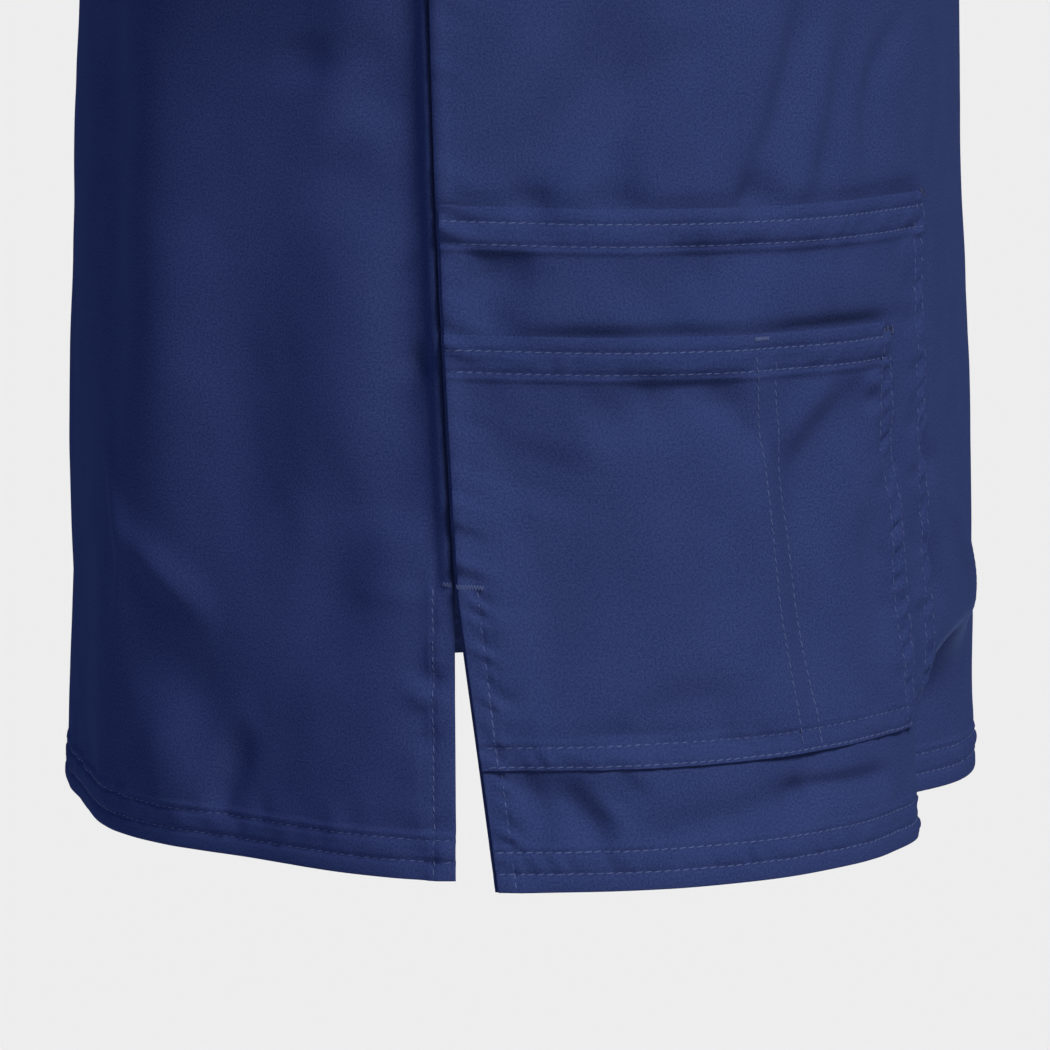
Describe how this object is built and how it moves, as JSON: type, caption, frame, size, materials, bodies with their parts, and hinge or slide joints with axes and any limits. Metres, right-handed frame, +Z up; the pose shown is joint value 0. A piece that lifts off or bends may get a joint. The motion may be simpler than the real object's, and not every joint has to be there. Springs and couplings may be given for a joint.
{
  "type": "medical scrub top",
  "caption": "Short-sleeved V-neck scrub top in navy twill, filled out as worn, with side vents and double-stitched patch pockets.",
  "frame": {"origin": "where the wearer's shoulders carry the top: on its middle plane, level with the neck ends of the shoulder seams", "axes": "+Z up the wearer, -Y the way the front faces, -X the wearer's right side"},
  "size_m": [0.62, 0.2799, 0.6553],
  "materials": {
    "navy_twill": "matt navy twill of polyester and cotton with a faint sheen",
    "navy_thread": "navy sewing thread, a little brighter than the cloth"
  },
  "bodies": {
    "root": {"front_panel": "navy_twill", "back_panel": "navy_twill", "right_sleeve": "navy_twill", "left_sleeve": "navy_twill", "front_neck_band": "navy_twill", "back_neck_band": "navy_twill", "right_pocket": "navy_twill", "left_pocket": "navy_twill", "small_pocket": "navy_twill"}
  },
  "joints": []
}
